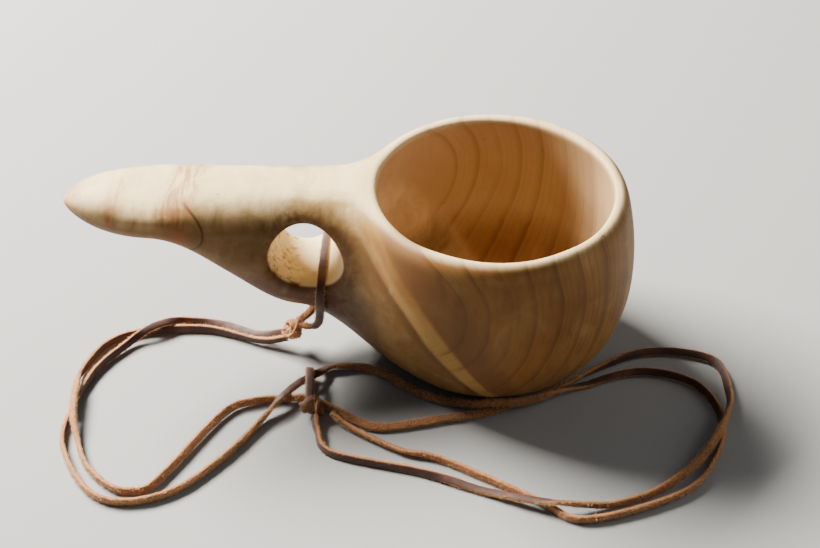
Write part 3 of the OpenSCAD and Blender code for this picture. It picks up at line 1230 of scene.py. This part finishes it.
    def sweep(self, name: str, line: Array, lay: Array,
              settings: Optional[dict] = None) -> bpy.types.Object:
        """Sweep the lace along a line.

        Args:
            name: The piece's name.
            line: Points of the lace's middle in mm.
            lay: Direction of the lace's smooth face at each point.
            settings: Inputs of the tree that differ from its own.

        Returns:
            The finished piece, a plain mesh.
        """
        mesh = bpy.data.meshes.new(name + "_line")
        mesh.from_pydata([tuple(p) for p in line * MM],
                         [(i, i + 1) for i in range(len(line) - 1)], [])
        attribute = mesh.attributes.new("lay", "FLOAT_VECTOR", "POINT")
        attribute.data.foreach_set("vector", lay.ravel())
        guide = show(name + "_guide", mesh)
        modifier = guide.modifiers.new("sweep", "NODES")
        modifier.node_group = self.tree
        for key, value in (settings or {}).items():
            modifier[self.sockets[key]] = value
        depsgraph = bpy.context.evaluated_depsgraph_get()
        made = bpy.data.meshes.new_from_object(guide.evaluated_get(depsgraph),
                                               preserve_all_data_layers=True, depsgraph=depsgraph)
        bpy.data.objects.remove(guide)
        return show(name, made)


@dataclass(frozen=True)
class KnotShape:
    """Sizes of a tight knot in mm, and how it lies.

    Attributes:
        radius: Radius of the turns, at the middle of the lace.
        half_length: Half the length that the turns take up.
        turns: Number of turns, with the tuck.
        overlap: How far the tuck stands over the turns.
        tuck_from: Share of the knot at which the tuck starts.
        start: Angle of the first turn in degrees.
        lean: Turns about X, Y and Z in degrees.
        width: Width of the lace, drawn tight.
        thick: Thickness of the lace, drawn tight.
        face: The face of the lace that is outside.
    """

    radius: float
    half_length: float
    turns: float
    overlap: float
    tuck_from: float
    start: float
    lean: Point
    width: float = 2.4
    thick: float = 1.4
    face: Face = Face.FLESH


@dataclass
class Lanyard:
    """The whole lace: its loop in the handle, two knots, two strands and an eye.

    Attributes:
        spacing: Distance between the rings of the sweep in mm.
        clear: Least gap between a strand and the table in mm.
        finish: The leather.
    """

    spacing: float = 0.7
    clear: float = 0.02
    finish: CutLeather = field(default_factory=CutLeather)

    def build(self) -> None:
        """Make every stretch and knot."""
        self.tree = LaceTree().build(self.finish.material())
        loop_knot = self.knot(
            "loop_knot_tied", LOOP_KNOT_AT,
            KnotShape(radius=2.45, half_length=2.1, turns=3.4, overlap=1.3, tuck_from=0.68,
                      start=200.0, lean=(0.0, 18.0, 12.0)), "loop_knot")
        noose_knot = self.knot(
            "noose_knot_tied", NOOSE_KNOT_AT,
            KnotShape(radius=1.95, half_length=2.9, turns=3.1, overlap=1.1, tuck_from=0.66,
                      start=160.0, lean=(10.0, 6.0, -14.0), width=2.3, thick=1.3,
                      face=Face.GRAIN), "noose_knot")
        self.strand("strand_p_leather", STRAND_P, "lace_strand_p")
        self.strand("strand_q_leather", STRAND_Q, "lace_strand_q")
        self.band("handle_loop_leather", HANDLE_LOOP, "handle_loop", (-61.5, 0.0, 24.0),
                  LOOP_KNOT_AT)
        self.band("noose_eye_leather", [(x, y, EYE_SETTLE * z) for x, y, z in NOOSE_EYE],
                  "noose_eye", (-60.8, -27.0, 3.0), NOOSE_KNOT_AT)

    def declare(self, piece: bpy.types.Object, line: Array, node: str) -> None:
        """Ride and replace one stretch of the lace, and log its length.

        Args:
            piece: The stretch.
            line: Points of its middle in mm.
            node: The plain node that it stands for.
        """
        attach(piece, ROOT)
        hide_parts(node)
        LOG.info("%s: %.0f mm long", piece.name, length_of(line))

    def strand(self, name: str, route: Sequence[tuple[float, float, float, float]], node: str) -> None:
        """Lay one strand on the table.

        The route's height is that of a round tube, so the flat lace is raised
        or lowered until it clears the table by as much as the tube does.

        Args:
            name: The piece's name.
            route: Places in mm and the lace's turn in degrees.
            node: The plain node that it stands for.
        """
        fine = smooth_through(np.array(route, float), self.spacing)
        line, turn = fine[:, :3].copy(), np.radians(fine[:, 3])
        half_tall = 0.5 * (LACE_WIDTH * np.abs(np.cos(turn))
                           + LACE_THICKNESS * np.abs(np.sin(turn)))
        line[:, 2] = np.maximum(line[:, 2] - TUBE_RADIUS, self.clear) + half_tall
        along = headings(line)
        side = np.cross(along, (0.0, 0.0, 1.0))
        side /= np.linalg.norm(side, axis=1)[:, None]
        up = np.cross(side, along)
        lay = side * np.cos(turn)[:, None] + up * np.sin(turn)[:, None]
        piece = self.tree.sweep(name, line, lay)
        self.declare(piece, line, node)

    def band(self, name: str, route: Sequence[Point], node: str, middle: Point,
             into: Point) -> None:
        """Wrap a stretch of lace round something, smooth face outwards.

        Args:
            name: The piece's name.
            route: Places in mm.
            node: The plain node that it stands for.
            middle: A place inside the loop.
            into: The knot that both ends go into.
        """
        line = smooth_through(np.array([into, *route, into], float), self.spacing)
        along = headings(line)
        across = np.array([1.0, 0.0, 0.0])
        outward = np.cross(across, along)
        outward /= np.linalg.norm(outward, axis=1)[:, None]
        sign = np.sign(((line - np.array(middle)) * outward).sum(1))
        outward *= np.where(sign.sum() > 0, 1.0, -1.0)
        piece = self.tree.sweep(name, line, outward)
        self.declare(piece, line, node)

    def knot(self, name: str, at: Point, shape: KnotShape, node: str) -> bpy.types.Object:
        """Tie a tight knot: turns round the strands, then a tuck across them.

        Args:
            name: The piece's name.
            at: The knot's middle in mm.
            shape: Sizes and turns of the knot.
            node: The plain node that it stands for.

        Returns:
            The knot.
        """
        t = np.linspace(0, 1, 110)
        angle = math.radians(shape.start) + 2 * math.pi * shape.turns * t
        closing = ease((t - shape.tuck_from) / (1 - shape.tuck_from))
        along = shape.half_length * ((2 * t / shape.tuck_from - 1) * (1 - closing)
                                     - 1.15 * closing)
        proud = shape.radius + shape.overlap * np.sin(math.pi * np.clip(closing * 1.15, 0, 1))
        radius = proud * ease(t / 0.07 + 0.25) * (1 - 0.75 * ease((t - 0.95) / 0.05))
        turned = np.stack([along, radius * np.cos(angle), radius * np.sin(angle)], 1)
        outward = np.stack([0.25 * along, np.cos(angle), np.sin(angle)], 1)
        lean = Euler([math.radians(a) for a in shape.lean]).to_matrix()
        turn = np.array([list(row) for row in lean])
        piece = self.tree.sweep(name, turned @ turn.T + np.array(at),
                                outward @ turn.T * shape.face.value,
                                {"Width": shape.width * MM, "Thickness": shape.thick * MM})
        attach(piece, ROOT)
        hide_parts(node)
        LOG.info("%s: tied", name)
        return piece


# --------------------------------------------------------------------------
# The studio
# --------------------------------------------------------------------------

@dataclass
class Studio:
    """The table, the lights and the camera.

    Attributes:
        camera_at: Place of the camera in metres.
        camera_down: How far it looks down, in degrees.
        lens: Focal length in mm.
        sensor: Width of the sensor in mm.
        aim: The place that the lights face, in metres.
        table: Colour of the table.
        table_half: Half the table's width in metres.
        sky: Colour of the light from all round.
        sky_power: Strength of the light from all round.
    """

    camera_at: Point = (-0.0275, -0.4451, 0.3881)
    camera_down: float = 38.94
    lens: float = 75.0
    sensor: float = 36.0
    aim: Point = (-0.03, 0.0, 0.03)
    table: str = "#959799"
    table_half: float = 3.0
    sky: str = "#e6eaf0"
    sky_power: float = 0.13

    def place_camera(self) -> None:
        """Set up the scene's camera."""
        data = bpy.data.cameras.new("camera")
        data.lens, data.sensor_width = self.lens, self.sensor
        data.clip_start = 0.02
        camera = bpy.data.objects.new("camera", data)
        camera.location = self.camera_at
        camera.rotation_euler = (math.radians(90 - self.camera_down), 0, 0)
        bpy.context.scene.collection.objects.link(camera)
        bpy.context.scene.camera = camera

    def light(self, name: str, at: Point, size: tuple[float, float], power: float,
              hue: str) -> None:
        """Hang a soft light that faces the cup.

        Args:
            name: The light's name.
            at: Its place in metres.
            size: Its width and height in metres.
            power: Its power in watts.
            hue: Its colour.
        """
        data = bpy.data.lights.new(name, "AREA")
        data.shape = "RECTANGLE"
        data.size, data.size_y = size
        data.energy, data.color = power, linear(hue)[:3]
        lamp = bpy.data.objects.new(name, data)
        lamp.location = at
        ray = Vector(self.aim) - Vector(at)
        lamp.rotation_euler = ray.to_track_quat("-Z", "Y").to_euler()
        bpy.context.scene.collection.objects.link(lamp)

    def build(self) -> None:
        """Make the table, the lights and the sky."""
        corners = np.array([(-1, -1, 0), (1, -1, 0), (1, 1, 0), (-1, 1, 0)], float)
        floor = mesh_object("table", corners * self.table_half, [(0, 1, 2, 3)], smooth=False)
        paint, _, _ = new_material("pale matt table", Base_Color=linear(self.table),
                                   Roughness=0.85)
        floor.data.materials.append(paint)
        self.light("window behind on the left", (-0.85, 0.66, 0.84), (0.8, 0.4), 150.0, "#fff8ec")
        self.light("fill from the right", (1.0, 0.1, 0.5), (0.7, 0.7), 4.0, "#fff6ea")
        world = bpy.data.worlds.new("sky")
        world.use_nodes = True
        glow = world.node_tree.nodes["Background"]
        glow.inputs[0].default_value = linear(self.sky)
        glow.inputs[1].default_value = self.sky_power
        bpy.context.scene.world = world


def main() -> None:
    """Build the scene in order."""
    logging.basicConfig(level=logging.INFO, format="%(message)s")
    studio = Studio()
    studio.place_camera()
    LOG.info("camera placed")
    Lanyard().build()
    cup = CarvedCup()
    piece = cup.build()
    cup.dress(piece)
    LOG.info("%s: %d faces", piece.name, len(piece.data.polygons))
    studio.build()
    LOG.info("studio built")
    bpy.context.view_layer.update()


if __name__ == "__main__":
    main()
